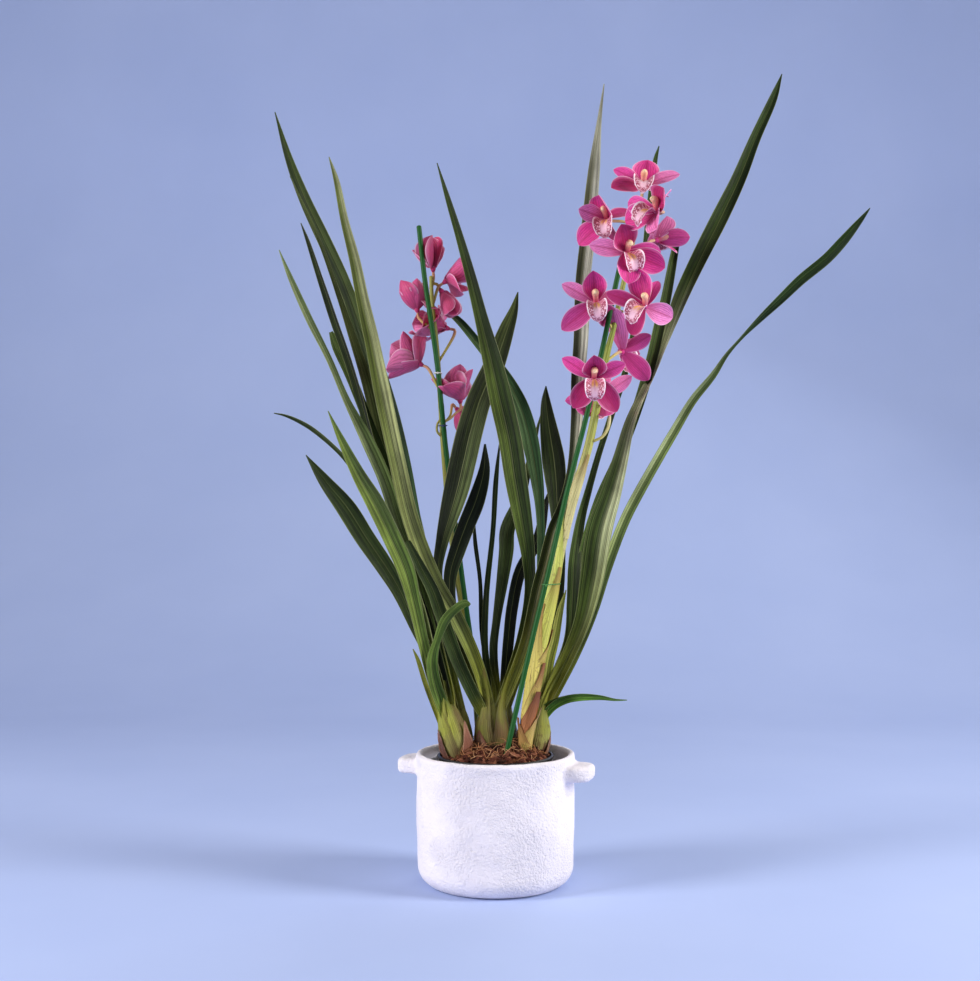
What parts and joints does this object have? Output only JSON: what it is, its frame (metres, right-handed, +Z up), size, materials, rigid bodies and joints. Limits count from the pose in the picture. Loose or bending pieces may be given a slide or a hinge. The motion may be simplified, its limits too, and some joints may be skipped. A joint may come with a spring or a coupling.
{
  "type": "potted orchid",
  "caption": "Potted Cymbidium orchid with tall strap leaves and two staked flower spikes in a round white ceramic pot with two lugs.",
  "frame": {"origin": "centre of the ceramic pot's flat foot, on the surface it stands on", "axes": "+Z up along the pot's axis, -Y towards the front from which the plant is seen, +X to that viewer's right"},
  "size_m": [0.6553, 0.2405, 0.9197],
  "materials": {
    "white_ceramic": "matte, rough and finely pitted",
    "black_plastic": "satin",
    "bark_and_coco": "dry, fibrous",
    "stake_green": "satin",
    "tie_pale": "satin",
    "tie_blue": "satin",
    "tie_green": "satin",
    "leaf_green": "smooth and leathery with fine lengthwise ribs",
    "spike_green": "smooth, with papery sheaths at the foot",
    "petal_rose": "velvety",
    "petal_dull_rose": "velvety",
    "lip_spotted": "velvety, spotted maroon"
  },
  "bodies": {
    "root": {"pot": "white_ceramic", "growing_pot": "black_plastic", "growing_medium": "bark_and_coco", "stake_left": "stake_green", "stake_right": "stake_green", "spike_left": "spike_green", "spike_right": "spike_green", "tie_left_top": "tie_pale", "tie_left_low": "tie_blue", "tie_right": "tie_green", "shoot_left_front": "leaf_green", "shoot_left_back": "leaf_green", "shoot_centre_front": "leaf_green", "shoot_centre_back": "leaf_green", "shoot_right": "leaf_green", "bloom_right_1": "petal_rose", "bloom_right_2": "petal_rose", "bloom_right_3": "petal_rose", "bloom_right_4": "petal_rose", "bloom_right_5": "petal_rose", "bloom_right_6": "petal_rose", "bloom_right_7": "petal_rose", "bloom_right_8": "petal_rose", "bloom_right_9": "petal_rose", "bloom_right_10": "petal_rose", "lip_right_1": "lip_spotted", "lip_right_2": "lip_spotted", "lip_right_3": "lip_spotted", "lip_right_4": "lip_spotted", "lip_right_5": "lip_spotted", "lip_right_6": "lip_spotted", "lip_right_7": "lip_spotted", "lip_right_8": "lip_spotted", "lip_right_9": "lip_spotted", "lip_right_10": "lip_spotted", "bloom_left_1": "petal_dull_rose", "bloom_left_2": "petal_dull_rose", "bloom_left_3": "petal_dull_rose", "bloom_left_4": "petal_dull_rose", "bloom_left_5": "petal_dull_rose", "bloom_left_6": "petal_dull_rose", "bloom_left_7": "petal_dull_rose", "bloom_left_8": "petal_dull_rose"}
  },
  "joints": []
}
